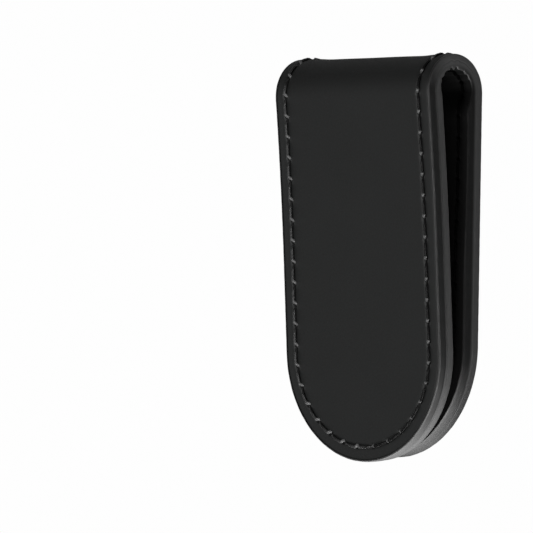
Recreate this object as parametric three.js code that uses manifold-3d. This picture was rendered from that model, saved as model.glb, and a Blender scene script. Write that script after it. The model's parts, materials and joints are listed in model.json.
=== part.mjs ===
// A leather money clip: one long leather strip and its lining are sewn flat all round, with a stiffener
// board and two magnets hidden in each end, then folded in half so that the magnets pull the leaves together.
//
// Millimetres. The rear leaf lies on z = 0 and +z runs through the clip to the front leaf. +y runs along the
// clip from the round tips to the fold, and x runs across its width, with x = 0 on the middle line.
// Every layer is described by two numbers: its station, the distance along the strip's outer face from the
// rear tip round the fold to the front tip, and its depth, measured square to the outer face towards the
// note gap.

import * as THREE from "three";
import { mergeVertices } from "three/addons/utils/BufferGeometryUtils.js";
import Module from "manifold-3d";

const wasm = await Module();
wasm.setup();

// Driving dimensions: the strip and its fold.
const clipWidth = 38;
const rearLeafLength = 62.8; // from the rear tip to the start of the fold
const frontLeafLength = 63.3; // from the end of the fold to the front tip
const foldRadius = 6.7; // of the outer face
const leanAtFold = THREE.MathUtils.degToRad(6.6); // of the front leaf towards the rear leaf
const leanAtTip = THREE.MathUtils.degToRad(3.9);
const bowLength = 29; // of the front leaf's gentle bend from one lean to the other

// Driving dimensions: the layers.
const leatherThickness = 1.15; // of the outer leather, and of the lining
const stiffenerThickness = 1.2;
const glueLine = 0.1;
const rampStart = -1.5; // from the fold's end to where the lining starts to step over the stiffener
const rampEnd = 4.5;

// Driving dimensions: the edge paint, the seam and the magnets.
const edgePaintThickness = 0.5;
const edgePaintSetback = 0.15; // from each leaf's faces
const seamInset = 2.65; // from the clip's edge to the middle of the thread
const threadWidth = 0.6;
const threadHeight = 0.45;
const threadSink = 0.05; // below the leather's face
const grooveClearance = 0.1;
const magnetRadius = 6;
const magnetSpacing = 14; // between the two magnets of a leaf
const magnetFromTip = 15;
const pocketClearance = 0.15;

// The fold bends at evenly spaced hinge lines, and the layers are cut there, so that each length can turn.
const hingeCount = 4;
const cutGap = 0.1;
const cutterOverrun = 1; // of a groove's cutter past the ends of the leather

// How finely curves are stepped.
const foldStep = 1.3;
const bowStep = 5;
const outlineSegments = 16; // in each quarter of a round tip
const magnetSegments = 32;

// Sizes that follow from the driving dimensions.
const halfWidth = clipWidth / 2;
const foldTurn = Math.PI + leanAtFold;
const foldLength = foldRadius * foldTurn;
const foldStart = rearLeafLength;
const foldEnd = foldStart + foldLength;
const stripLength = foldEnd + frontLeafLength;
const coreDepth = leatherThickness + glueLine;
const liningDepthInFold = coreDepth;
const liningDepthInLeaf = coreDepth + stiffenerThickness + glueLine;

// The strip's outer face as straight and round runs, from the rear tip to the front tip.
// y is 0 on the fold's middle line until the whole clip is placed.
const runs = [
  { length: rearLeafLength, turn: 0 },
  { length: foldLength, turn: foldTurn },
  { length: bowLength, turn: leanAtTip - leanAtFold },
  { length: frontLeafLength - bowLength, turn: 0 },
];

// Where a station lies on the outer face, and which way the strip heads there.
function outerFace(station) {
  let start = { y: -rearLeafLength, z: 0, heading: 0 };
  let left = station;
  for (const run of runs) {
    const travel = run === runs.at(-1) ? left : Math.min(left, run.length);
    start = travelled(start, travel, run.turn / run.length);
    left -= travel;
    if (left <= 0) break;
  }
  return start;
}

function travelled({ y, z, heading }, distance, curvature) {
  if (curvature === 0) {
    return {
      y: y + distance * Math.cos(heading),
      z: z + distance * Math.sin(heading),
      heading,
    };
  }
  const newHeading = heading + distance * curvature;
  return {
    y: y + (Math.sin(newHeading) - Math.sin(heading)) / curvature,
    z: z - (Math.cos(newHeading) - Math.cos(heading)) / curvature,
    heading: newHeading,
  };
}

// The point at a depth under a station, as (y, z).
function atDepth(station, depth) {
  const { y, z, heading } = outerFace(station);
  return new THREE.Vector2(y - depth * Math.sin(heading), z + depth * Math.cos(heading));
}

// The lining runs close under the outer leather in the fold, and steps down over each leaf's stiffener.
function liningDepth(station) {
  const fromFold = Math.max(foldStart - station, station - foldEnd);
  const step = THREE.MathUtils.smoothstep(fromFold, rampStart, rampEnd);
  return THREE.MathUtils.lerp(liningDepthInFold, liningDepthInLeaf, step);
}

function fullDepth(station) {
  return liningDepth(station) + leatherThickness;
}

// The strip in zones, with the longest step between stations in each: short where it bends and where the
// lining steps.
const zones = [
  { to: foldStart - rampEnd, longestStep: Infinity },
  { to: foldEnd + rampEnd, longestStep: foldStep },
  { to: foldEnd + bowLength, longestStep: bowStep },
  { to: Infinity, longestStep: Infinity },
];

// Stations from one end of a length of strip to the other.
function stationsAlong({ from, to }) {
  const stations = [from];
  for (const zone of zones) {
    const start = stations.at(-1);
    const end = Math.min(to, zone.to);
    const steps = Math.max(1, Math.ceil((end - start) / zone.longestStep));
    for (let i = 1; i <= steps && end > start; i += 1) {
      stations.push(THREE.MathUtils.lerp(start, end, i / steps));
    }
  }
  return stations;
}

function asSolid(geometry) {
  const bare = geometry.clone();
  bare.deleteAttribute("normal");
  bare.deleteAttribute("uv");
  const merged = mergeVertices(bare, 1e-4);
  return new wasm.Manifold(
    new wasm.Mesh({
      numProp: 3,
      vertProperties: new Float32Array(merged.attributes.position.array),
      triVerts: new Uint32Array(merged.index.array),
    }),
  );
}

function asGeometry(solid) {
  const { vertProperties, triVerts } = solid.getMesh();
  const geometry = new THREE.BufferGeometry();
  geometry.setAttribute("position", new THREE.BufferAttribute(vertProperties, 3));
  geometry.setIndex(new THREE.BufferAttribute(triVerts, 1));
  const faceted = geometry.toNonIndexed();
  faceted.computeVertexNormals();
  return faceted;
}

// A layer between two depths, each a function of the station, and two places across the width.
function layer(length, topDepth, bottomDepth, xFrom = -clipWidth, xTo = clipWidth) {
  const stations = stationsAlong(length);
  const top = stations.map((station) => atDepth(station, topDepth(station)));
  const bottom = stations.map((station) => atDepth(station, bottomDepth(station)));
  const profile = new THREE.Shape([...top, ...bottom.reverse()]);
  const geometry = new THREE.ExtrudeGeometry(profile, { depth: xTo - xFrom, bevelEnabled: false });
  // The profile is drawn in (y, z) and extruded along x.
  const profileAxes = new THREE.Matrix4().set(0, 0, 1, xFrom, 1, 0, 0, 0, 0, 1, 0, 0, 0, 0, 0, 1);
  return asSolid(geometry.applyMatrix4(profileAxes));
}

// A tall prism of a leaf's outline, inset from the clip's edge, standing square to the leaf at its tip.
function leafPrism(leaf, inset) {
  const radius = halfWidth - inset;
  const outline = new THREE.Shape();
  outline.moveTo(radius, leaf.reach);
  outline.lineTo(-radius, leaf.reach);
  outline.lineTo(-radius, halfWidth);
  outline.absarc(0, halfWidth, radius, Math.PI, 2 * Math.PI, false);
  outline.closePath();
  const geometry = new THREE.ExtrudeGeometry(outline, {
    depth: 2 * halfWidth,
    bevelEnabled: false,
    curveSegments: 2 * outlineSegments,
  });
  geometry.translate(0, 0, -halfWidth);
  geometry.rotateX(leaf.lean);
  geometry.translate(0, leaf.tip.y, leaf.tip.z);
  return asSolid(geometry);
}

// The part of a layer inside a leaf's outline between two insets from the clip's edge.
function leafLayer(leaf, topDepth, bottomDepth, insetFrom, insetTo, length = leaf.length) {
  const whole = layer(length, topDepth, bottomDepth).intersect(leafPrism(leaf, insetFrom));
  return insetTo === undefined ? whole : whole.subtract(leafPrism(leaf, insetTo));
}

const materials = {
  outerLeather: { color: 0x262726, roughness: 0.45, metalness: 0 },
  lining: { color: 0x1b1b1b, roughness: 0.6, metalness: 0 },
  thread: { color: 0x2a2a2a, roughness: 0.55, metalness: 0 },
  edgePaint: { color: 0x303130, roughness: 0.35, metalness: 0 },
  stiffener: { color: 0x6b6459, roughness: 0.9, metalness: 0 },
  magnet: { color: 0xb9bcc0, roughness: 0.3, metalness: 1 },
};

function namedMesh(name, geometry, material) {
  const mesh = new THREE.Mesh(geometry, new THREE.MeshStandardMaterial(materials[material]));
  mesh.name = name;
  return mesh;
}

// Each leaf: its length of the strip, and the frame that stands on its tip.
function makeLeaf(name, length, tipStation, lean) {
  const tip = outerFace(tipStation);
  const reach = Math.max(rearLeafLength, frontLeafLength) + foldRadius;
  return { name, length, tip, lean, reach };
}

// Depths the same distance all along from the outer face, or from the lining's face.
const fromOuter = (distance) => () => distance;
const fromLining = (distance) => (station) => fullDepth(station) - distance;

// A groove's cutter is longer than the leather it is cut in, so that the groove is open at both ends.
const overrun = ({ from, to }) => ({ from: from - cutterOverrun, to: to + cutterOverrun });

// Bands across the width or round an outline, as [inset of its outer side, inset of its inner side].
const leatherInset = edgePaintThickness + glueLine;
const threadBand = [seamInset - threadWidth / 2, seamInset + threadWidth / 2];
const grooveBand = [threadBand[0] - grooveClearance, threadBand[1] + grooveClearance];
const threadBottom = threadSink + threadHeight;
const grooveBottom = threadBottom + grooveClearance;
const clearOfFace = -cutterOverrun; // a depth outside the leather, so that a groove is cut open
const magnetPlaces = [-magnetSpacing / 2, magnetSpacing / 2];

// Leaf frames measure y from the tip towards the fold, and z from the middle of the stiffener.
function leafFrame(leaf) {
  const toFront = leaf.lean === 0 ? 1 : -1;
  const middleDepth = coreDepth + stiffenerThickness / 2;
  return new THREE.Matrix4()
    .makeTranslation(0, leaf.tip.y, leaf.tip.z)
    .multiply(new THREE.Matrix4().makeRotationX(leaf.lean))
    .multiply(new THREE.Matrix4().makeTranslation(0, 0, toFront * middleDepth));
}

function leafStiffener(leaf) {
  const flatLength = {
    from: leaf.lean === 0 ? 0 : foldEnd + rampEnd,
    to: leaf.lean === 0 ? foldStart - rampEnd : stripLength,
  };
  const board = leafLayer(
    leaf,
    fromOuter(coreDepth),
    fromOuter(coreDepth + stiffenerThickness),
    leatherInset,
    undefined,
    flatLength,
  );
  return magnetPlaces.reduce((rest, x) => {
    const pocket = new THREE.CylinderGeometry(
      magnetRadius + pocketClearance,
      magnetRadius + pocketClearance,
      2 * liningDepthInLeaf,
      magnetSegments,
    );
    pocket.rotateX(Math.PI / 2);
    pocket.translate(x, magnetFromTip, 0);
    return rest.subtract(asSolid(pocket.applyMatrix4(leafFrame(leaf))));
  }, board);
}

function leafMagnets(leaf) {
  const magnets = new THREE.Group();
  magnets.applyMatrix4(leafFrame(leaf));
  const geometry = new THREE.CylinderGeometry(
    magnetRadius,
    magnetRadius,
    stiffenerThickness - glueLine,
    magnetSegments,
  );
  magnetPlaces.forEach((x) => {
    const side = x < 0 ? "left" : "right";
    const magnet = namedMesh(`${leaf.name}_magnet_${side}`, geometry, "magnet");
    magnet.position.set(x, magnetFromTip, 0);
    magnet.rotation.x = Math.PI / 2;
    magnets.add(magnet);
  });
  return magnets;
}

function leafGroup(leaf) {
  const group = new THREE.Group();
  const outer = leafLayer(leaf, fromOuter(0), fromOuter(leatherThickness), leatherInset);
  const lining = leafLayer(leaf, liningDepth, fullDepth, leatherInset);
  const groove = [...grooveBand, overrun(leaf.length)];
  const outerGroove = leafLayer(leaf, fromOuter(clearOfFace), fromOuter(grooveBottom), ...groove);
  const liningGroove = leafLayer(leaf, fromLining(grooveBottom), fromLining(clearOfFace), ...groove);
  const outerThread = leafLayer(leaf, fromOuter(threadSink), fromOuter(threadBottom), ...threadBand);
  const liningThread = leafLayer(leaf, fromLining(threadBottom), fromLining(threadSink), ...threadBand);
  const paint = leafLayer(
    leaf,
    fromOuter(edgePaintSetback),
    fromLining(edgePaintSetback),
    0,
    edgePaintThickness,
  );
  const pieces = {
    outer_leather: [outer.subtract(outerGroove), "outerLeather"],
    lining_leather: [lining.subtract(liningGroove), "lining"],
    stiffener: [leafStiffener(leaf), "stiffener"],
    outer_thread: [outerThread, "thread"],
    lining_thread: [liningThread, "thread"],
    edge_paint: [paint, "edgePaint"],
  };
  for (const [piece, [solid, material]] of Object.entries(pieces)) {
    group.add(namedMesh(`${leaf.name}_${piece}`, asGeometry(solid), material));
  }
  group.add(leafMagnets(leaf));
  return group;
}

// One length of the fold, between two hinge lines.
function foldGroup(name, length) {
  const group = new THREE.Group();
  const leatherEdge = halfWidth - leatherInset;
  let outer = layer(length, fromOuter(0), fromOuter(leatherThickness), -leatherEdge, leatherEdge);
  let lining = layer(length, liningDepth, fullDepth, -leatherEdge, leatherEdge);

  const sides = { left: -1, right: 1 };
  for (const [sideName, side] of Object.entries(sides)) {
    const across = (band) => band.map((inset) => side * (halfWidth - inset)).sort((a, b) => a - b);
    const groove = across(grooveBand);
    const thread = across(threadBand);
    const paint = across([0, edgePaintThickness]);
    const grooved = overrun(length);
    outer = outer.subtract(layer(grooved, fromOuter(clearOfFace), fromOuter(grooveBottom), ...groove));
    lining = lining.subtract(layer(grooved, fromLining(grooveBottom), fromLining(clearOfFace), ...groove));
    const trim = {
      outer_thread: [fromOuter(threadSink), fromOuter(threadBottom), thread, "thread"],
      lining_thread: [fromLining(threadBottom), fromLining(threadSink), thread, "thread"],
      edge_paint: [fromOuter(edgePaintSetback), fromLining(edgePaintSetback), paint, "edgePaint"],
    };
    for (const [piece, [top, bottom, band, material]] of Object.entries(trim)) {
      const solid = layer(length, top, bottom, ...band);
      group.add(namedMesh(`${name}_${piece}_${sideName}`, asGeometry(solid), material));
    }
  }
  group.add(namedMesh(`${name}_outer_leather`, asGeometry(outer), "outerLeather"));
  group.add(namedMesh(`${name}_lining_leather`, asGeometry(lining), "lining"));
  return group;
}

// The lengths of strip between the hinge lines, with a small gap at each line.
function lengthBetween(from, to) {
  return {
    from: from === 0 ? 0 : from + cutGap / 2,
    to: to === stripLength ? stripLength : to - cutGap / 2,
  };
}

const hingeStations = [];
for (let i = 0; i < hingeCount; i += 1) {
  hingeStations.push(foldStart + ((i + 0.5) / hingeCount) * foldLength);
}

const rearLength = lengthBetween(0, hingeStations[0]);
const frontLength = lengthBetween(hingeStations.at(-1), stripLength);
const rearLeaf = makeLeaf("rear", rearLength, 0, 0);
const frontLeaf = makeLeaf("front", frontLength, stripLength, leanAtTip);

const moneyClip = new THREE.Group();
moneyClip.name = "money_clip";
moneyClip.add(leafGroup(rearLeaf), leafGroup(frontLeaf));
for (let i = 1; i < hingeCount; i += 1) {
  moneyClip.add(foldGroup(`fold_${i}`, lengthBetween(hingeStations[i - 1], hingeStations[i])));
}

// The origin is midway along the clip, under its middle line, on the face that it rests on.
const nearestTip = Math.min(rearLeaf.tip.y, frontLeaf.tip.y);
moneyClip.position.y = -(foldRadius + nearestTip) / 2;

export default moneyClip;
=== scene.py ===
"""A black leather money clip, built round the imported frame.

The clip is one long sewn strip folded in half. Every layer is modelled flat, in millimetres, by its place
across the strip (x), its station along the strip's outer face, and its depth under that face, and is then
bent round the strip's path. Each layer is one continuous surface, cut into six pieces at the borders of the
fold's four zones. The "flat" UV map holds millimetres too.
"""

import json
import math

import bpy
import numpy as np
from mathutils import Matrix, Vector

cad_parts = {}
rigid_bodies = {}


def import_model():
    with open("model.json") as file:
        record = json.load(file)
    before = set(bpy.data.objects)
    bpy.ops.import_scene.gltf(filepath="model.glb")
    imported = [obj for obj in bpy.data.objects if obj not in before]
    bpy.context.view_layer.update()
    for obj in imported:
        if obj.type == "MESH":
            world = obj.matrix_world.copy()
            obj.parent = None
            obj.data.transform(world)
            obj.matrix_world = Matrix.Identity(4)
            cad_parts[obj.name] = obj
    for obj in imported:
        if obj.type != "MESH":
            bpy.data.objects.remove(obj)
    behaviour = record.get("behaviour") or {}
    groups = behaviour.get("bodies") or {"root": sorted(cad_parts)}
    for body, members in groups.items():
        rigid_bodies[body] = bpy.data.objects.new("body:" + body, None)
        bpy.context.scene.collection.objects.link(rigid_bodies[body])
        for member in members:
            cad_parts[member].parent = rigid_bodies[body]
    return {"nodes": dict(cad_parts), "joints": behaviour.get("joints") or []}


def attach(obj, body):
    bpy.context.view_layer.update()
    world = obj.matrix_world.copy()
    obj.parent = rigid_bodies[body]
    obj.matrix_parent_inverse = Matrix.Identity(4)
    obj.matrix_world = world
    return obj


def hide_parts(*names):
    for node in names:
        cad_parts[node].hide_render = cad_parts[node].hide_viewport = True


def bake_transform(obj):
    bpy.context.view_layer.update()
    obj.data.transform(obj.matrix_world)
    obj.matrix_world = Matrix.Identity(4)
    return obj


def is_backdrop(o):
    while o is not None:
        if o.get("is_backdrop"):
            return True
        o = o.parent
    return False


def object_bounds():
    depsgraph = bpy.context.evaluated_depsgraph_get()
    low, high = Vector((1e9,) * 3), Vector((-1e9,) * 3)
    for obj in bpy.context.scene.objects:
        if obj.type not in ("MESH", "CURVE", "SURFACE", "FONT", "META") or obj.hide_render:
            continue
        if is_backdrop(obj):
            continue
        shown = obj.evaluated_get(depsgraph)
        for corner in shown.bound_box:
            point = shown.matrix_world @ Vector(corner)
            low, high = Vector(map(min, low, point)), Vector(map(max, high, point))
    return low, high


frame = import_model()
cad_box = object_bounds()

MM = 0.001

# The strip and its fold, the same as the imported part's.
clip_width = 2 * cad_box[1].x / MM
fold_radius = 6.7
lean_at_fold = math.radians(6.6)
lean_at_tip = math.radians(3.9)
bow_length = 29
rear_leaf_length = 62.8
front_leaf_length = 63.3
leather_thickness = 1.15
lining_depth_in_fold = 1.25
lining_depth_in_leaf = 2.55

# Where the lining steps over each stiffener, from the fold's nearer end. The front leaf's is full first.
rear_ramp = (-1.5, 4.5)
front_ramp = (-8.5, 1.2)

# How much thinner the rear leaf is beside the fold, and how far from the fold that comes and goes.
pressed_rim = 0.35
pressed_start = (2, 6)
pressed_end = (14, 32)

# The lining's bunching in the fold: everywhere, and more at a place on each side of its middle.
bunching = 0.2
rear_bunching = 0.08
rear_bunching_place = 0.3
rear_bunching_reach = 3.2
front_bunching = 0.25
front_bunching_place = 0.72
front_bunching_reach = 2.4

# The lining's ridges in the fold, which are higher at its edges.
ridge_pitch = 2.3
ridge_height = 0.08
ridge_extra_at_edge = 0.24
ridge_growth_insets = (6, 1)

# The outer leather's sag in the fold, and the room left at a zone border for what lies on the lining.
fold_sag = 0.25
fold_sag_insets = (2.5, 8)
border_clearance = 0.05

# The leather's edge: a worn margin, and a rounded corner under the paint. Insets are from the outline.
leather_cut_inset = 0.38
leather_corner_inset = 0.62
leather_corner = 0.3
leather_corner_limit = 0.95
margin_drop = 0.16
margin_width = 2.2
wave_insets = (2.5, 7)

# The seam.
seam_inset = 2.65
stitch_pitch = 3.617
hole_before_fold_end = 0.55
even_stitches_in_rear = 17
even_stitches_in_front = 12
stitches_round_half_a_tip = 7.5

# The channel that the seam lies in, and its slanting holes.
channel_depth = 0.15
channel_reach = 0.45
pillow_height = 0.03
pillow_full_inset = 6
hole_depth = 0.42
hole_half_length = 0.46
hole_half_width = 0.27
hole_slant = math.radians(35)

# A stitch: a three-ply thread that rises out of one hole and hooks into the next. Heights are over the face.
thread_half_width = 0.29
thread_half_height = 0.22
thread_plies = 3
thread_twist = 1.7
ply_waist = 0.8
ply_swell = 0.24
thread_overlap = 0.12
thread_rise = 1.5
thread_dive = 0.42
thread_lowest = -0.42
thread_lift = 0.47
thread_arch = 0.03
thread_sway = 0.03
thread_drift = 0.15
thread_hook = 0.42
thread_hook_steps = (0.85, 0.97)
points_round_thread = 14
stitch_spacing_in_flat = 5
strand_dullness = 0.3

# The edge paint: its section, and where its gloss and its painted light change. Places are shares of the
# depth.
paint_lap = 0.42
paint_corner = 0.34
paint_corner_power = 0.8
paint_setback = 0.05
paint_skin = 0.02
paint_layer_line = 0.06
paint_layer_line_place = 0.46
paint_layer_line_reach = 0.035
paint_back_insets = [0.62, 0.58, 0.62]
paint_back_places = [0.78, 0.5, 0.22]
# Where the edge paint's painted light lies: the painted floor reflection on each leaf's lower half, painted
# light round the tips, a painted corner highlight and painted glints on the fold's gap corner.
painted_reflection_line = 1.75
painted_tip_light_fade = 8
painted_reflection_fade_in_fold = (1, 9)
painted_tip_light_reach = 15
painted_corner_highlight = 0.55
painted_gap_glint_span = (2.4, 2.7)
crown_place = 0.3
crown_above = 0.05
crown_below = 0.18

# The studio. What the camera sees of the floor and the world is pale. What lights the clip is dim.
floor_paleness = 0.99
floor_gap = 0.02
floor_glow = 0.05
tip_glow = 6.0
tip_glow_turn = math.radians(65)
tip_glow_metres = (0.032, 0.056)
world_paleness = 0.95
world_light = 0.11

# Sizes that follow.
half_width = clip_width / 2
fold_turn = math.pi + lean_at_fold
fold_length = fold_radius * fold_turn
fold_start = rear_leaf_length
fold_end = fold_start + fold_length
strip_length = fold_end + front_leaf_length
fold_y = cad_box[1].y / MM - fold_radius
zone_count = len(frame["joints"])
zone_borders = fold_start + np.arange(zone_count + 1) * fold_length / zone_count

seam_radius = half_width - seam_inset
tip_arc = seam_radius * math.pi / 2
half_seam = 2 * tip_arc + strip_length - clip_width


# ---------------------------------------------------------------------------------------------------------
# The strip's path, and the depths of its layers
# ---------------------------------------------------------------------------------------------------------


def outer_face(station):
    """Where the strip's outer face is at each station, as y, z and heading."""
    runs = [
        (rear_leaf_length, 0),
        (fold_length, fold_turn),
        (bow_length, lean_at_tip - lean_at_fold),
        (strip_length - fold_end - bow_length, 0),
    ]
    y = np.full_like(station, fold_y - rear_leaf_length)
    z = np.zeros_like(station)
    heading = np.zeros_like(station)
    start = 0
    for length, turn in runs:
        travel = np.clip(station - start, 0, length)
        bend = turn / length
        new_heading = heading + travel * bend
        if bend:
            y += (np.sin(new_heading) - np.sin(heading)) / bend
            z -= (np.cos(new_heading) - np.cos(heading)) / bend
        else:
            y += travel * np.cos(heading)
            z += travel * np.sin(heading)
        heading = new_heading
        start += length
    return y, z, heading


def bent(x, station, depth):
    """Flat places bent round the strip's path, in metres in the frame."""
    y, z, heading = outer_face(station)
    return MM * np.stack([x, y - depth * np.sin(heading), z + depth * np.cos(heading)], axis=-1)


def smooth_step(value, low, high):
    """0 up to the low value and 1 from the high one, with a smooth rise between."""
    t = np.clip((value - low) / (high - low), 0, 1)
    return t * t * (3 - 2 * t)


def lining_depth(station):
    """Depth of the lining's glued side: shallow in the fold, and over the stiffener in each leaf."""
    rear_step = smooth_step(fold_start - station, *rear_ramp)
    front_step = smooth_step(station - fold_end, *front_ramp)
    step = np.maximum(rear_step, front_step)
    return lining_depth_in_fold + (lining_depth_in_leaf - lining_depth_in_fold) * step


def bump(distance, reach):
    """A round bump, 1 at no distance and about a third at its reach."""
    return np.exp(-((distance / reach) ** 2))


def inside_fold(station):
    """0 in the leaves, rising to 1 in the middle of the fold."""
    t = np.clip((station - fold_start) / fold_length, 0, 1)
    return np.sin(math.pi * t) ** 2


def pucker(x, station):
    """How far the lining bunches into the fold, where it has less room than the outer leather."""
    phase = 2 * math.pi * station / ridge_pitch
    wander = 1.1 * np.sin(0.31 * x + 0.4) + 0.7 * np.sin(0.83 * x + 2.0)
    ridge = 0.6 * np.cos(phase + wander) + 0.4 * np.cos(1.37 * phase + 1.4 * wander + 0.9)
    grows_from, grown_at = ridge_growth_insets
    near_edge = smooth_step(np.abs(x), half_width - grows_from, half_width - grown_at)
    rear_side = fold_start + rear_bunching_place * fold_length
    front_side = fold_start + front_bunching_place * fold_length
    extra = rear_bunching * bump(station - rear_side, rear_bunching_reach)
    extra += front_bunching * bump(station - front_side, front_bunching_reach)
    height = ridge_height + ridge_extra_at_edge * near_edge
    return inside_fold(station) * (bunching + extra + height * ridge)


def rim_pressed(station):
    """How much thinner the rear leaf is beside the fold, where it was pressed when the fold was made."""
    from_fold = fold_start - station
    comes = smooth_step(from_fold, *pressed_start)
    goes = smooth_step(from_fold, *pressed_end)
    return pressed_rim * comes * (1 - goes)


def full_depth(x, station):
    """Depth of the lining's face, which is the whole thickness of the strip."""
    return lining_depth(station) + leather_thickness + pucker(x, station) - rim_pressed(station)


# ---------------------------------------------------------------------------------------------------------
# The seam: its holes, and places along it
# ---------------------------------------------------------------------------------------------------------


def half_seam_holes():
    """Distances from the rear tip's middle, along one half of the seam, of the holes on that half."""
    first = tip_arc + fold_end - half_width - hole_before_fold_end
    even = first + stitch_pitch * np.arange(-even_stitches_in_rear, even_stitches_in_front + 1)
    rear_pitch = even[0] / stitches_round_half_a_tip
    front_pitch = (half_seam - even[-1]) / stitches_round_half_a_tip
    count = int(stitches_round_half_a_tip)
    rear = even[0] - rear_pitch * np.arange(count, 0, -1)
    front = even[-1] + front_pitch * np.arange(1, count + 1)
    return np.concatenate([rear, even, front])


holes = half_seam_holes()


def outline_at(along):
    """For places along the half seam: the station that the outline turns about, and the way out from it."""
    rear_turn = np.clip(along / seam_radius, 0, math.pi / 2)
    front_turn = np.clip((half_seam - along) / seam_radius, 0, math.pi / 2)
    centre = np.clip(half_width + along - tip_arc, half_width, strip_length - half_width)
    out_x = np.sin(np.minimum(rear_turn, front_turn))
    out_s = np.cos(front_turn) - np.cos(rear_turn)
    return centre, out_x, out_s


def seam_place(along, inset):
    """Flat place at a distance along the whole seam, which is negative on the left half."""
    wrapped = (along + half_seam) % (2 * half_seam) - half_seam
    centre, out_x, out_s = outline_at(np.abs(wrapped))
    reach = half_width - inset
    return np.sign(wrapped) * reach * out_x, centre + reach * out_s


def make_columns():
    """Places along the half seam where the layers have a row of points: close together at the holes."""
    from_tip = 0.2
    from_border = 0.08
    steps = np.array([0, 0.035, 0.075, 0.12, 0.2, 0.35, 0.5, 0.65, 0.8, 0.88, 0.925, 0.965])
    ends = np.concatenate([[-holes[0]], holes, [2 * half_seam - holes[-1]]])
    places = (ends[:-1, None] + steps * np.diff(ends)[:, None]).ravel()
    places = places[(places > from_tip) & (places < half_seam - from_tip)]
    borders = tip_arc + zone_borders - half_width
    clear = np.abs(places[:, None] - borders).min(axis=1) > from_border
    return np.sort(np.concatenate([[0], places[clear], borders, [half_seam]]))


columns = make_columns()
column_centre, column_out_x, column_out_s = outline_at(columns)
column_middles = (columns[:-1] + columns[1:]) / 2
column_zone = np.searchsorted(zone_borders, half_width + column_middles - tip_arc)


def hole_dimple(along, inset):
    """How deep the leather is drawn in round the nearest hole, which is a slanting slit."""
    nearest = np.abs(along[:, None] - holes).argmin(axis=1)
    past = along - holes[nearest]
    across = inset - seam_inset
    lengthwise = past * math.cos(hole_slant) + across * math.sin(hole_slant)
    crosswise = across * math.cos(hole_slant) - past * math.sin(hole_slant)
    shape = -((lengthwise / hole_half_length) ** 2) - (crosswise / hole_half_width) ** 2
    return hole_depth * np.exp(shape)


def face_relief(along, inset, x, station):
    """How far a leather face lies under its nominal surface: the seam's channel, its holes, a worn margin."""
    channel = channel_depth * bump(inset - seam_inset, channel_reach)
    pillow = pillow_height * smooth_step(inset, seam_inset, pillow_full_inset)
    margin = margin_drop * np.clip((margin_width - inset) / margin_width, 0, 1) ** 1.5
    into_corner = np.clip((leather_corner_inset - inset) / leather_corner, 0, leather_corner_limit)
    rolled = leather_corner * (1 - np.sqrt(1 - into_corner**2))
    waves = 0.018 * np.sin(0.21 * x + 0.9) * np.sin(0.13 * station + 0.4)
    waves += 0.012 * np.sin(0.43 * x - 0.17 * station + 2.1)
    clear_of_seam = smooth_step(inset, *wave_insets)
    return channel - pillow + margin + rolled + waves * clear_of_seam + hole_dimple(along, inset)


# ---------------------------------------------------------------------------------------------------------
# Layers: points and faces of the whole strip, cut into pieces afterwards
# ---------------------------------------------------------------------------------------------------------


class Layer:
    """Points and faces of one layer of the whole strip, before it is cut at the zone borders."""

    def __init__(self):
        self.points = []
        self.flat = []
        self.count = 0
        self.faces = []
        self.zones = []

    def add_points(self, x, station, depth, flat=None):
        """Adds a grid of points and returns their numbers, in the same shape."""
        numbers = self.count + np.arange(x.size).reshape(x.shape)
        self.points.append(bent(x.ravel(), station.ravel(), depth.ravel()))
        if flat is None:
            flat = np.stack([x, station], axis=-1)
        self.flat.append(flat.reshape(-1, 2))
        self.count += x.size
        return numbers

    def add_quads(self, index, zone_of_row, flip):
        """Faces between neighbouring rows and columns of a grid of point numbers."""
        corners = [index[:-1, :-1], index[:-1, 1:], index[1:, 1:], index[1:, :-1]]
        if flip:
            corners.reverse()
        quads = np.stack(corners, axis=-1)
        for row, zone in zip(quads, zone_of_row):
            for face in row.tolist():
                self.add_face(face, zone)

    def add_face(self, face, zone):
        """Adds a face without its repeated points, or nothing if fewer than three are left."""
        face = list(dict.fromkeys(face))
        if len(face) > 2:
            self.faces.append(face)
            self.zones.append(int(zone))

    def pieces(self):
        """Points, flat places, faces and normals of each zone's piece."""
        points = np.concatenate(self.points)
        flat = np.concatenate(self.flat)
        normals = point_normals(points, self.faces)
        for zone in range(zone_count + 2):
            faces = [face for face, own in zip(self.faces, self.zones) if own == zone]
            used = np.unique(np.concatenate([np.array(face) for face in faces]))
            place = {number: i for i, number in enumerate(used.tolist())}
            local = [[place[number] for number in face] for face in faces]
            yield zone, points[used], flat[used], local, normals[used]


def point_normals(points, faces):
    """Normals of a layer's points, each from all the faces round it, on both sides of a zone border."""
    normals = np.zeros_like(points)
    for size in (3, 4):
        group = np.array([face for face in faces if len(face) == size])
        if not len(group):
            continue
        first = points[group[:, 2]] - points[group[:, 0]]
        second = points[group[:, -1]] - points[group[:, 1]]
        across = np.cross(first, second)
        for corner in range(size):
            np.add.at(normals, group[:, corner], across)
    lengths = np.linalg.norm(normals, axis=1, keepdims=True)
    return normals / np.maximum(lengths, 1e-20)


def border_rows():
    """The rows of points on a zone border, each with the zones on its two sides."""
    for row in range(1, len(columns) - 1):
        if column_zone[row - 1] != column_zone[row]:
            yield row, column_zone[row - 1], column_zone[row]


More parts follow.
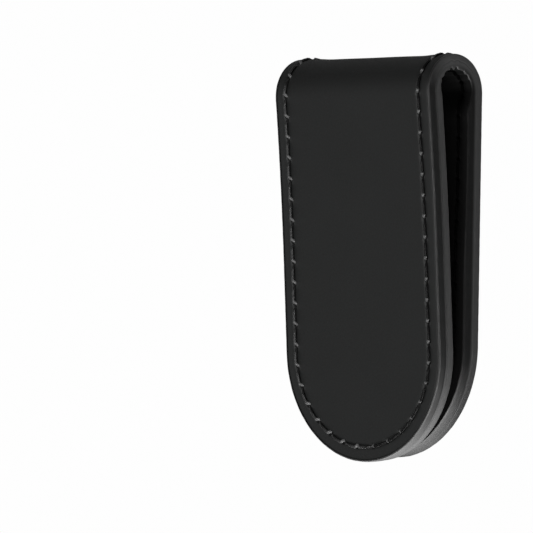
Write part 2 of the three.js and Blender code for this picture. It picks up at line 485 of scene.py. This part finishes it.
def sheet_face(layer, insets, across, surface):
    """A grid over the whole outline: rings of points near the edge, and rows across between them."""
    rings = half_width - np.array(insets)
    middle = np.linspace(-1, 1, across + 1)[1:-1] * rings[-1]
    out = np.concatenate([-rings, middle, rings[::-1]])
    forward = np.concatenate([rings, np.full(across - 1, rings[-1]), rings[::-1]])
    x = column_out_x[:, None] * out
    station = column_centre[:, None] + column_out_s[:, None] * forward
    along = np.repeat(columns[:, None], len(out), axis=1)
    inset = half_width - np.hypot(x, station - column_centre[:, None])
    in_straight = np.abs(column_out_s) < 1e-9
    inset[in_straight] = half_width - np.abs(x[in_straight])
    depth = surface(x, station, along, inset)
    index = layer.add_points(x, station, depth)
    count = len(rings)
    for tip_row in (0, -1):
        index[tip_row, count:-count] = index[tip_row, count - 1]
        index[tip_row, -count:] = index[tip_row, count - 1 :: -1]
    return index


def leather_sheet(insets, across, face_depth, back_depth, faces_gap):
    """One leather layer of the whole strip: its face, its back, and the cut edge all round."""
    layer = Layer()
    face = sheet_face(layer, insets, across, face_depth)
    back = sheet_face(layer, [insets[0], insets[-1]], 4, back_depth)
    layer.add_quads(face, column_zone, not faces_gap)
    layer.add_quads(back, column_zone, faces_gap)
    layer.add_quads(np.stack([back[:, 0], face[:, 0]], axis=1), column_zone, not faces_gap)
    layer.add_quads(np.stack([face[:, -1], back[:, -1]], axis=1), column_zone, not faces_gap)
    for row, before, after in border_rows():
        cap = face[row].tolist() + back[row, ::-1].tolist()
        if faces_gap:
            cap.reverse()
        layer.add_face(cap, before)
        layer.add_face(cap[::-1], after)
    return layer


def outer_leather_layer():
    """The outer leather. Its rings of points are closest together at the corner and beside the seam."""
    insets = [leather_cut_inset, 0.44, 0.5, 0.58, 0.7, 0.85, 1.1, 1.4, 1.7]
    insets += [seam_inset + beside for beside in (-0.72, -0.55, -0.42, -0.3, -0.2, -0.1, 0)]
    insets += [seam_inset + beside for beside in (0.1, 0.2, 0.3, 0.42, 0.55, 0.75, 1.1, 1.8, 2.8)]

    def face(x, station, along, inset):
        relief = face_relief(along.ravel(), inset.ravel(), x.ravel(), station.ravel())
        sag = fold_sag * inside_fold(station) * smooth_step(half_width - np.abs(x), *fold_sag_insets)
        return relief.reshape(x.shape) + sag

    def back(x, station, along, inset):
        return np.full_like(x, leather_thickness)

    return leather_sheet(insets, 20, face, back, faces_gap=False)


def lining_leather_layer():
    """The lining leather, with more rows across for its ridges."""
    insets = [leather_cut_inset, 0.44, 0.5, 0.58, 0.7, 0.9, 1.2, 1.6]
    insets += [seam_inset + beside for beside in (-0.7, -0.45, -0.32, -0.2, -0.1, 0)]
    insets += [seam_inset + beside for beside in (0.1, 0.2, 0.32, 0.45, 0.65, 1.0, 1.6, 2.6)]

    def face(x, station, along, inset):
        relief = face_relief(along.ravel(), inset.ravel(), x.ravel(), station.ravel())
        return full_depth(x, station) - relief.reshape(x.shape)

    def back(x, station, along, inset):
        return lining_depth(station)

    return leather_sheet(insets, 36, face, back, faces_gap=True)


def paint_side_inset(share, along):
    """How far in the paint's side lies: its crown, the line between the leathers, and a slow waver."""
    crown = np.where(share < crown_place, crown_above, crown_below)
    reach_from_crown = np.where(share < crown_place, crown_place, 1 - crown_place)
    bow = crown * ((share - crown_place) / reach_from_crown) ** 2
    line = paint_layer_line * bump(share - paint_layer_line_place, paint_layer_line_reach)
    waver = 0.012 * np.sin(1.9 * along) + 0.008 * np.sin(4.3 * along + 1)
    return bow + line + paint_skin + waver


def edge_paint_layer():
    """The coat of paint round the cut edge: a closed section carried round both halves."""
    layer = Layer()
    corner = np.radians(np.arange(0, 91, 15))
    side = np.linspace(0, 1, 25)[1:-1]
    corner_lap = paint_lap * (1 - np.sin(corner) ** paint_corner_power)
    corner_drop = paint_corner * (1 - np.cos(corner) ** paint_corner_power)
    lap = np.concatenate([corner_lap, np.zeros_like(side), corner_lap[::-1]])
    on_side = 1 - lap / paint_lap
    rows = len(columns)
    back_insets = np.repeat([paint_back_insets], rows, axis=0)
    grids = []
    for direction in (-1, 1):
        x_edge = direction * half_width * column_out_x[:, None]
        station_edge = column_centre[:, None] + half_width * column_out_s[:, None]
        whole = full_depth(x_edge, station_edge)
        last = whole - paint_setback
        outer_corner = np.repeat([paint_setback + corner_drop], rows, axis=0)
        straight = last - paint_setback - 2 * paint_corner
        across = paint_setback + paint_corner + straight * side
        depth = np.concatenate([outer_corner, across, last - corner_drop[::-1]], axis=1)
        inset = lap + paint_side_inset(depth / whole, columns[:, None]) * on_side
        inset = np.concatenate([inset, back_insets], axis=1)
        depth = np.concatenate([depth, whole * np.array(paint_back_places)], axis=1)
        reach = half_width - inset
        x = direction * reach * column_out_x[:, None]
        station = column_centre[:, None] + reach * column_out_s[:, None]
        along = np.repeat(columns[:, None], depth.shape[1], axis=1)
        flat = np.stack([along, depth + inset], axis=-1)
        grids.append(layer.add_points(x, station, depth, flat))
    left, right = grids
    right[[0, -1]] = left[[0, -1]]
    for index, flip in ((left, True), (right, False)):
        ring = np.concatenate([index, index[:, :1]], axis=1)
        layer.add_quads(ring, column_zone, flip)
        for row, before, after in border_rows():
            cap = index[row].tolist()
            if flip:
                cap.reverse()
            layer.add_face(cap, before)
            layer.add_face(cap[::-1], after)
    return layer


def stitch_ends():
    """Both ends of every stitch along the whole seam, the two tips' middle stitches among them."""
    ends = [(a, b) for a, b in zip(holes[:-1], holes[1:])]
    left = [(-a, -b) for a, b in ends]
    middle = [(-holes[0], holes[0]), (holes[-1], 2 * half_seam - holes[-1])]
    return ends + left + middle


stitch_steps = np.array(
    [0, 0.03, 0.06, 0.1, 0.15, 0.22, 0.3, 0.4, 0.5, 0.6, 0.7, 0.78, 0.84, 0.88, 0.915, 0.945, 0.97, 0.985, 1]
)
round_thread = np.linspace(0, 2 * math.pi, points_round_thread + 1)[:-1]


def stitch_path(number, start, end):
    """A stitch's middle line, as flat x, station and depth, and how far along it each point is."""
    travelled = stitch_steps * abs(end - start)
    to_go = (1 - stitch_steps) * abs(end - start)
    sway = thread_sway * math.sin(2.3 * number) * np.sin(math.pi * stitch_steps)
    inset = seam_inset + sway
    crosses_tip = number >= 2 * (len(holes) - 1)
    if not crosses_tip:
        hook = thread_hook * smooth_step(stitch_steps, *thread_hook_steps)
        inset += hook - thread_drift * stitch_steps
    up = smooth_step(travelled, -thread_overlap, thread_rise)
    down = smooth_step(to_go, -thread_overlap, thread_dive)
    arch = thread_arch * np.sin(math.pi * stitch_steps)
    height = thread_lowest + thread_lift * np.minimum(up, down) + arch
    x, station = seam_place(start + (end - start) * stitch_steps, inset)
    return np.stack([x, station, -height], axis=-1), travelled


def twisted_rings(middle, travelled):
    """Rings of points round a stitch's middle line, with a lobe for each ply."""
    tangent = np.gradient(middle, axis=0)
    tangent /= np.linalg.norm(tangent, axis=1, keepdims=True)
    sideways = np.cross(tangent, np.array([0, 0, -1.0]))
    sideways /= np.linalg.norm(sideways, axis=1, keepdims=True)
    upright = np.cross(sideways, tangent)
    turned = round_thread - (2 * math.pi * travelled / thread_twist)[:, None]
    ply = ply_waist + ply_swell * np.abs(np.cos(thread_plies / 2 * turned))
    wide = thread_half_width * ply * np.cos(round_thread)
    tall = thread_half_height * ply * np.sin(round_thread)
    across = wide[..., None] * sideways[:, None, :]
    return middle[:, None, :] + across + tall[..., None] * upright[:, None, :]


def thread_layer(face_depth, outward):
    """Every stitch of one thread, as a closed tube. Outward is 1 on the outer face and -1 on the lining's."""
    layer = Layer()
    flip = outward < 0
    for number, (start, end) in enumerate(stitch_ends()):
        middle, travelled = stitch_path(number, start, end)
        ring = twisted_rings(middle, travelled)
        x = ring[..., 0]
        station = ring[..., 1]
        depth = face_depth(x, station) + outward * ring[..., 2]
        flat_along = travelled[:, None] + stitch_spacing_in_flat * number
        flat = np.stack(np.broadcast_arrays(flat_along, round_thread), axis=-1)
        index = layer.add_points(x, station, depth, flat)
        closed = np.concatenate([index, index[:, :1]], axis=1)
        middle_station = middle[len(middle) // 2, 1]
        zone = np.searchsorted(zone_borders, middle_station)
        layer.add_quads(closed, [zone] * (len(middle) - 1), flip)
        for cap in (index[0], index[-1, ::-1]):
            layer.add_face(cap[::-1].tolist() if flip else cap.tolist(), zone)
    return layer


# ---------------------------------------------------------------------------------------------------------
# Materials
# ---------------------------------------------------------------------------------------------------------


class Nodes:
    """Short calls for building a node material."""

    def __init__(self, name):
        self.material = bpy.data.materials.new(name)
        self.material.use_nodes = True
        self.tree = self.material.node_tree
        self.shader = self.tree.nodes["Principled BSDF"]

    def add(self, kind, settings=None, inputs=None):
        node = self.tree.nodes.new(kind)
        for key, value in (settings or {}).items():
            setattr(node, key, value)
        for key, value in (inputs or {}).items():
            self.put(node, key, value)
        return node

    def put(self, node, key, value):
        if isinstance(value, bpy.types.NodeSocket):
            self.tree.links.new(value, node.inputs[key])
        else:
            node.inputs[key].default_value = value

    def flat(self, scale=(1, 1, 1)):
        """A layer's flat places, in millimetres."""
        place = self.add("ShaderNodeUVMap", {"uv_map": "flat"}).outputs["UV"]
        return self.add("ShaderNodeMapping", None, {"Vector": place, "Scale": scale}).outputs["Vector"]

    def noise(self, vector, scale, detail=3.0, roughness=0.5):
        inputs = {"Vector": vector, "Scale": scale, "Detail": detail, "Roughness": roughness}
        return self.add("ShaderNodeTexNoise", None, inputs).outputs["Fac"]

    def cells(self, vector, scale):
        inputs = {"Vector": vector, "Scale": scale}
        return self.add("ShaderNodeTexVoronoi", {"feature": "F1"}, inputs).outputs["Distance"]

    def between(self, value, low, high, from_low=0.0, from_high=1.0):
        """The value's place from from_low to from_high, carried over to low to high and kept inside them."""
        inputs = {"Value": value, "From Min": from_low, "From Max": from_high, "To Min": low, "To Max": high}
        return self.add("ShaderNodeMapRange", None, inputs).outputs["Result"]

    def blend_colours(self, value, first, second):
        node = self.add("ShaderNodeMix", {"data_type": "RGBA"})
        self.put(node, 0, value)
        node.inputs[6].default_value = (*first, 1)
        node.inputs[7].default_value = (*second, 1)
        return node.outputs[2]

    def sum(self, first, second, weight):
        """The first, and the second times its weight."""
        inputs = {0: second, 1: weight, 2: first}
        return self.add("ShaderNodeMath", {"operation": "MULTIPLY_ADD"}, inputs).outputs[0]

    def greater(self, first, second):
        """The greater of the two at each place."""
        return self.add("ShaderNodeMath", {"operation": "MAXIMUM"}, {0: first, 1: second}).outputs[0]

    def product(self, first, second):
        return self.add("ShaderNodeMath", {"operation": "MULTIPLY"}, {0: first, 1: second}).outputs[0]

    def raised(self, height, distance, strength=1.0):
        """Fine relief, which is as deep as the distance in metres."""
        inputs = {"Height": height, "Distance": distance, "Strength": strength}
        node = self.add("ShaderNodeBump", None, inputs)
        self.put(self.shader, "Normal", node.outputs["Normal"])


def leather_material(name, dark, light, roughness, grain, shine):
    """Fine-grained coated leather: small cells, pores and slow changes of tone and gloss."""
    nodes = Nodes(name)
    place = nodes.flat()
    clouds = nodes.noise(place, 0.09, 4.0)
    pores = nodes.noise(place, 2.6, 4.0, 0.6)
    cells = nodes.cells(place, 2.9)
    tone = nodes.sum(pores, clouds, 0.15)
    colour = nodes.blend_colours(nodes.between(tone, 0, 1, 0.35, 0.8), dark, light)
    nodes.put(nodes.shader, "Base Color", colour)
    gloss = nodes.sum(nodes.between(clouds, roughness - 0.015, roughness + 0.015, 0.3, 0.7), cells, 0.06)
    nodes.put(nodes.shader, "Roughness", gloss)
    nodes.shader.inputs["Specular IOR Level"].default_value = shine
    nodes.raised(nodes.sum(cells, pores, 0.7), 0.02 * MM, grain)
    return nodes.material


def edge_paint_material():
    """Black resin, dull, with painted light: a glossier painted floor reflection on the leaves' lower half,
    painted light round the tips, a painted highlight on part of its corners and painted glints in the fold's
    gap.
    """
    dull = {"colour": (0.002,) * 3, "roughness": 0.41, "shine": 0.34}
    polished_with_painted_light = {"colour": (0.062,) * 3, "roughness": 0.25, "shine": 0.55}
    nodes = Nodes("edge_paint")
    streaks = nodes.noise(nodes.flat((0.25, 2.2, 1)), 1.0, 4.0)
    specks = nodes.noise(nodes.flat(), 3.5, 3.0)
    place = nodes.add("ShaderNodeSeparateXYZ", None, {0: nodes.flat()}).outputs
    along = place["X"]
    across = place["Y"]
    middle = half_seam / 2

    # Painted reflection of the floor: a lighter, glossier band on the lower half of each leaf's edge.
    near, far = painted_reflection_fade_in_fold
    in_front = nodes.between(along, 0, 1, middle - far, middle - near)
    in_rear = nodes.between(along, 1, 0, middle + near, middle + far)
    painted_reflection_front = nodes.between(across, 0, 0.72, painted_reflection_line - 0.15, painted_reflection_line + 0.55)
    painted_reflection_rear = nodes.between(across, 1, 0, painted_reflection_line - 0.05, painted_reflection_line + 0.45)
    polish = nodes.sum(nodes.product(in_front, painted_reflection_front), in_rear, painted_reflection_rear)

    # Painted light round the tips, where the low front light falls: a lighter colour there.
    rear_tip_ends = painted_tip_light_reach
    front_tip_starts = half_seam - painted_tip_light_reach
    painted_light_rear_tip = nodes.between(along, 0.8, 0, rear_tip_ends, rear_tip_ends + painted_tip_light_fade)
    painted_light_front_tip = nodes.between(along, 0, 0.5, front_tip_starts, front_tip_starts + painted_tip_light_fade)
    polish = nodes.greater(polish, nodes.greater(painted_light_rear_tip, painted_light_front_tip))

    # Painted highlight along the outer corner, as a lighter colour.
    painted_corner_highlight_mask = nodes.between(across, painted_corner_highlight, 0, 0.24, 0.42)
    polish = nodes.greater(polish, painted_corner_highlight_mask)
    # Painted glints on the gap corner in the rear part of the fold, as a lighter colour.
    fold_begins = middle - fold_length / 2
    after_rear_leaf = nodes.between(along, 0, 1, fold_begins + 1, fold_begins + 4)
    before_middle = nodes.between(along, 1, 0, middle - 1, middle + 3)
    painted_gap_glints = nodes.between(across, 0, 1, *painted_gap_glint_span)
    in_rear_of_fold = nodes.product(after_rear_leaf, before_middle)
    polish = nodes.greater(polish, nodes.product(in_rear_of_fold, painted_gap_glints))
    polish = nodes.between(nodes.sum(polish, streaks, 0.25), 0, 1, 0.12, 1.12)

    # The lighter colour is painted light wherever the painted masks above raise the polish.
    colour = nodes.blend_colours(polish, dull["colour"], polished_with_painted_light["colour"])
    gloss = nodes.between(polish, dull["roughness"], polished_with_painted_light["roughness"])
    nodes.put(nodes.shader, "Base Color", colour)
    nodes.put(nodes.shader, "Roughness", nodes.sum(gloss, specks, 0.12))
    nodes.put(nodes.shader, "Specular IOR Level", nodes.between(polish, dull["shine"], polished_with_painted_light["shine"]))
    nodes.raised(nodes.sum(streaks, specks, 0.5), 0.03 * MM, 0.6)
    return nodes.material


def thread_material(name, dark, light, end, roughness, shine):
    """Bonded nylon thread: fibres that follow the twist, and a painted glint, paler, where it bends into each
    hole.

    The left row of stitches is shiny and has a faint painted highlight all along. The right row is duller
    between its holes.
    """
    nodes = Nodes(name)
    fibres = nodes.noise(nodes.flat((2.0, 3.0, 1)), 2.5, 4.0)
    place = nodes.add("ShaderNodeSeparateXYZ", None, {0: nodes.flat()}).outputs["X"]
    spacing = {0: place, 1: stitch_spacing_in_flat}
    along = nodes.add("ShaderNodeMath", {"operation": "MODULO"}, spacing).outputs[0]
    left_row = stitch_spacing_in_flat * (len(holes) - 1)
    in_left_row = nodes.between(place, 0, 1, left_row - 1, left_row)
    on_strand = nodes.between(along, 0, 1, 0.35 * stitch_pitch, 0.7 * stitch_pitch)
    # Painted glint: a paler colour at the end of each stitch, where it bends into its hole.
    painted_end_glint = nodes.between(along, 0, 0.8, stitch_pitch - 0.62, stitch_pitch - 0.42)
    # A faint painted highlight along the strands of the left row, added to the painted end glints.
    painted_glint_mask = nodes.sum(painted_end_glint, nodes.product(on_strand, in_left_row), 0.2)
    painted_glint_amount = nodes.product(painted_glint_mask, nodes.between(fibres, 0.6, 1, 0.35, 0.65))
    bare = nodes.blend_colours(nodes.between(fibres, 0, 1, 0.35, 0.65), dark, light)
    colours = {0: painted_glint_amount, 6: bare, 7: (*end, 1)}
    colour = nodes.add("ShaderNodeMix", {"data_type": "RGBA"}, colours).outputs[2]
    nodes.put(nodes.shader, "Base Color", colour)
    gloss = nodes.between(fibres, roughness - 0.07, roughness + 0.07, 0.3, 0.7)
    nodes.put(nodes.shader, "Roughness", gloss)
    rubbed = nodes.greater(painted_end_glint, in_left_row)
    rubbed_shine = nodes.between(rubbed, strand_dullness * shine, shine, 0, 0.8)
    nodes.put(nodes.shader, "Specular IOR Level", rubbed_shine)
    nodes.raised(fibres, 0.03 * MM, 0.7)
    return nodes.material


def board_material():
    """Grey-brown fibre board for the hidden stiffeners."""
    nodes = Nodes("stiffener_board")
    place = nodes.add("ShaderNodeTexCoord").outputs["Object"]
    fibres = nodes.noise(place, 900.0, 5.0)
    nodes.put(nodes.shader, "Base Color", nodes.blend_colours(fibres, (0.10, 0.09, 0.08), (0.19, 0.17, 0.15)))
    nodes.put(nodes.shader, "Roughness", nodes.between(fibres, 0.8, 0.95))
    nodes.raised(fibres, 0.05 * MM)
    return nodes.material


def magnet_material():
    """Nickel plate with a slightly uneven polish."""
    nodes = Nodes("nickel_plate")
    place = nodes.add("ShaderNodeTexCoord").outputs["Object"]
    polish = nodes.noise(place, 400.0, 3.0)
    nodes.shader.inputs["Metallic"].default_value = 1.0
    nodes.put(nodes.shader, "Base Color", nodes.blend_colours(polish, (0.52, 0.52, 0.53), (0.6, 0.6, 0.61)))
    nodes.put(nodes.shader, "Roughness", nodes.between(polish, 0.22, 0.34))
    nodes.raised(polish, 0.005 * MM)
    return nodes.material


def floor_material():
    """A plain pale sweep. It shows evenly pale, and lights the clip dimly, more so in front of the tips."""
    nodes = Nodes("pale_floor")
    place = nodes.add("ShaderNodeTexCoord").outputs["Object"]
    mottle = nodes.noise(place, 30.0, 2.0)
    nodes.put(nodes.shader, "Base Color", nodes.blend_colours(mottle, (0.24,) * 3, (0.26,) * 3))
    nodes.shader.inputs["Roughness"].default_value = 0.95
    nodes.shader.inputs["Specular IOR Level"].default_value = 0.0
    nodes.shader.inputs["Emission Color"].default_value = (1, 1, 1, 1)
    turned = nodes.add("ShaderNodeMapping", None, {"Vector": place, "Rotation": (0, 0, tip_glow_turn)})
    apart = nodes.add("ShaderNodeSeparateXYZ", None, {0: turned.outputs["Vector"]}).outputs["X"]
    in_front = nodes.between(apart, floor_glow, tip_glow, *tip_glow_metres)
    nodes.put(nodes.shader, "Emission Strength", in_front)
    even = nodes.add("ShaderNodeEmission", None, {"Color": (1, 1, 1, 1), "Strength": floor_paleness})
    path = nodes.add("ShaderNodeLightPath")
    mix = nodes.add("ShaderNodeMixShader", None, {0: path.outputs["Is Camera Ray"]})
    nodes.put(mix, 1, nodes.shader.outputs["BSDF"])
    nodes.put(mix, 2, even.outputs["Emission"])
    output = nodes.tree.nodes["Material Output"]
    nodes.put(output, "Surface", mix.outputs["Shader"])
    return nodes.material


# ---------------------------------------------------------------------------------------------------------
# Camera, light and floor
# ---------------------------------------------------------------------------------------------------------


def make_camera():
    """The view that shows the front leaf, its right edge and the open gap, with the tips pointing down."""
    view_turn = math.radians(45.8)
    view_tilt = math.radians(-2.313)
    view_roll = math.radians(0.977)
    view_distance = 2500
    framed_width = 92.5
    left_of_middle = 18.98
    below_middle = 1.82
    middle = Vector((0, 0.58, fold_radius))

    back = Vector(
        (
            math.sin(view_turn) * math.cos(view_tilt),
            math.sin(view_tilt),
            math.cos(view_turn) * math.cos(view_tilt),
        )
    )
    level_right = Vector((math.cos(view_turn), 0, -math.sin(view_turn)))
    level_up = back.cross(level_right)
    right = level_right * math.cos(view_roll) + level_up * math.sin(view_roll)
    up = back.cross(right)
    place = middle + back * view_distance - right * left_of_middle - up * below_middle

    data = bpy.data.cameras.new("camera")
    data.sensor_width = 36
    data.lens = data.sensor_width * view_distance / framed_width
    data.clip_start = 0.1
    data.clip_end = 20
    camera = bpy.data.objects.new("camera", data)
    turned = Matrix((right, up, back)).transposed().to_4x4()
    camera.matrix_world = Matrix.Translation(place * MM) @ turned
    bpy.context.scene.collection.objects.link(camera)
    bpy.context.scene.camera = camera


def area_light(name, azimuth, elevation, distance, size, power):
    """A soft light that looks at the clip. Azimuth 0 is over +X and 90 is over the fold. Sizes are metres."""
    turn = math.radians(azimuth)
    rise = math.radians(elevation)
    way = Vector((math.cos(turn) * math.cos(rise), math.sin(turn) * math.cos(rise), math.sin(rise)))
    data = bpy.data.lights.new(name, "AREA")
    data.shape = "RECTANGLE"
    data.size, data.size_y = size
    data.energy = power
    light = bpy.data.objects.new(name, data)
    light.location = way * distance
    light.rotation_mode = "QUATERNION"
    light.rotation_quaternion = way.to_track_quat("Z", "Y")
    bpy.context.scene.collection.objects.link(light)


def make_lights():
    area_light("low_front_light", azimuth=-68, elevation=24, distance=1.6, size=(0.8, 0.6), power=14)
    area_light("overhead_light", azimuth=20, elevation=86, distance=1.8, size=(0.7, 0.7), power=12.5)
    area_light("left_light", azimuth=180, elevation=7, distance=1.0, size=(0.5, 0.3), power=0.7)


def make_world():
    """Dim for reflections, and pale where the camera sees it behind the floor."""
    world = bpy.data.worlds.new("studio")
    bpy.context.scene.world = world
    world.use_nodes = True
    tree = world.node_tree
    dim = tree.nodes["Background"]
    dim.inputs["Color"].default_value = (1, 1, 1, 1)
    dim.inputs["Strength"].default_value = world_light
    pale = tree.nodes.new("ShaderNodeBackground")
    pale.inputs["Strength"].default_value = world_paleness
    path = tree.nodes.new("ShaderNodeLightPath")
    mix = tree.nodes.new("ShaderNodeMixShader")
    tree.links.new(path.outputs["Is Camera Ray"], mix.inputs["Fac"])
    tree.links.new(dim.outputs["Background"], mix.inputs[1])
    tree.links.new(pale.outputs["Background"], mix.inputs[2])
    tree.links.new(mix.outputs["Shader"], tree.nodes["World Output"].inputs["Surface"])


def make_floor(lowest):
    """A pale sheet just under the clip's lowest stitches."""
    reach = 1.5
    ends = [(-reach, -reach), (reach, -reach), (reach, reach), (-reach, reach)]
    corners = [(x, y, lowest) for x, y in ends]
    mesh = bpy.data.meshes.new("floor")
    mesh.from_pydata(corners, [], [(0, 1, 2, 3)])
    mesh.materials.append(floor_material())
    floor = bpy.data.objects.new("floor", mesh)
    bpy.context.scene.collection.objects.link(floor)
    floor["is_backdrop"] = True


# ---------------------------------------------------------------------------------------------------------
# Pieces
# ---------------------------------------------------------------------------------------------------------


def make_piece(name, points, flat, faces, normals, material):
    """A mesh with its layer's normals, so that pieces meet smoothly. Its caps have points of their own."""
    caps = [face for face in faces if len(face) > 4]
    skin = [face for face in faces if len(face) <= 4]
    used = np.array([number for face in caps for number in face], int)
    starts = np.cumsum([len(points)] + [len(face) for face in caps])
    skin += [list(range(start, start + len(face))) for start, face in zip(starts, caps)]
    points = np.concatenate([points, points[used]])
    flat = np.concatenate([flat, flat[used]])
    normals = np.concatenate([normals, np.zeros((len(used), 3))])

    mesh = bpy.data.meshes.new(name)
    mesh.from_pydata(points.tolist(), [], skin)
    mesh.materials.append(material)
    mesh.shade_smooth()
    corner_points = np.zeros(len(mesh.loops), int)
    mesh.loops.foreach_get("vertex_index", corner_points)
    layer = mesh.uv_layers.new(name="flat")
    layer.data.foreach_set("uv", flat[corner_points].ravel())
    corner_normals = normals[corner_points]
    for face in mesh.polygons:
        if face.loop_total > 4:
            corner_normals[face.loop_start : face.loop_start + face.loop_total] = face.normal
    mesh.normals_split_custom_set(corner_normals.tolist())
    piece = bpy.data.objects.new(name, mesh)
    bpy.context.scene.collection.objects.link(piece)
    return piece


def border_reach(border):
    """How far to the side of the nearest hinge a zone border is at its innermost point, in metres."""
    x = np.linspace(-half_width, half_width, 200)
    deepest = full_depth(x, np.full_like(x, border)).max() + border_clearance
    return MM * (fold_radius - deepest) * math.sin(fold_turn / zone_count / 2)


def hinge_bend(number):
    """Where the strip starts and ends bending over a hinge."""
    joint = frame["joints"][number]
    hinge = Vector(joint["pos_m"])
    centre = Vector((0, fold_y, fold_radius)) * MM
    tangent = Vector(joint["axis"]).cross(centre - hinge).normalized()
    start = hinge - tangent * border_reach(zone_borders[number])
    return start, hinge + tangent * border_reach(zone_borders[number + 1])


def place_pieces(family, layer, material):
    """Cuts a layer into its pieces, rides the leaves' pieces on the frame's bodies, and keeps the fold's
    pieces in place.
    """
    joints = frame["joints"]
    for zone, points, flat, faces, normals in layer.pieces():
        if zone == 0:
            part = "rear"
        elif zone > zone_count:
            part = "front"
        else:
            part = f"fold_{zone}"
        piece = make_piece(f"{part}_{family}_surface", points, flat, faces, normals, material)
        if zone == 0:
            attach(piece, joints[0]["parent"])
        elif zone > zone_count:
            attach(piece, joints[-1]["child"])
        else:
            start, end = hinge_bend(zone - 1)
            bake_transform(piece)
            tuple(start)
            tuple(end)
        names = [f"{part}_{family}{side}" for side in ("", "_left", "_right")]
        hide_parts(*[name for name in names if name in frame["nodes"]])


make_camera()
make_world()
make_lights()

outer_leather = leather_material(
    "outer_leather",
    dark=(0.0087, 0.0093, 0.0091),
    light=(0.0136, 0.0144, 0.0142),
    roughness=0.5,
    grain=0.4,
    shine=0.42,
)
lining_leather = leather_material(
    "lining_leather", dark=(0.006,) * 3, light=(0.01,) * 3, roughness=0.7, grain=0.7, shine=0.14
)
edge_paint = edge_paint_material()
# The end colours are painted glints at the end of each stitch.
outer_thread = thread_material(
    "outer_thread", dark=(0.003,) * 3, light=(0.01,) * 3, end=(0.16,) * 3, roughness=0.34, shine=0.5
)
lining_thread = thread_material(
    "lining_thread", dark=(0.001,) * 3, light=(0.002,) * 3, end=(0.004,) * 3, roughness=0.8, shine=0.1
)


def outer_face_depth(x, station):
    """The outer face is where depth starts."""
    return np.zeros_like(x)


place_pieces("outer_leather", outer_leather_layer(), outer_leather)
place_pieces("lining_leather", lining_leather_layer(), lining_leather)
place_pieces("edge_paint", edge_paint_layer(), edge_paint)
place_pieces("outer_thread", thread_layer(outer_face_depth, 1), outer_thread)
place_pieces("lining_thread", thread_layer(full_depth, -1), lining_thread)

hidden_materials = {"stiffener": board_material(), "magnet": magnet_material()}
for name, node in frame["nodes"].items():
    for kind, material in hidden_materials.items():
        if kind in name:
            node.data.materials.clear()
            node.data.materials.append(material)

make_floor(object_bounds()[0].z - floor_gap * MM)
bpy.context.scene.view_settings.view_transform = "Standard"
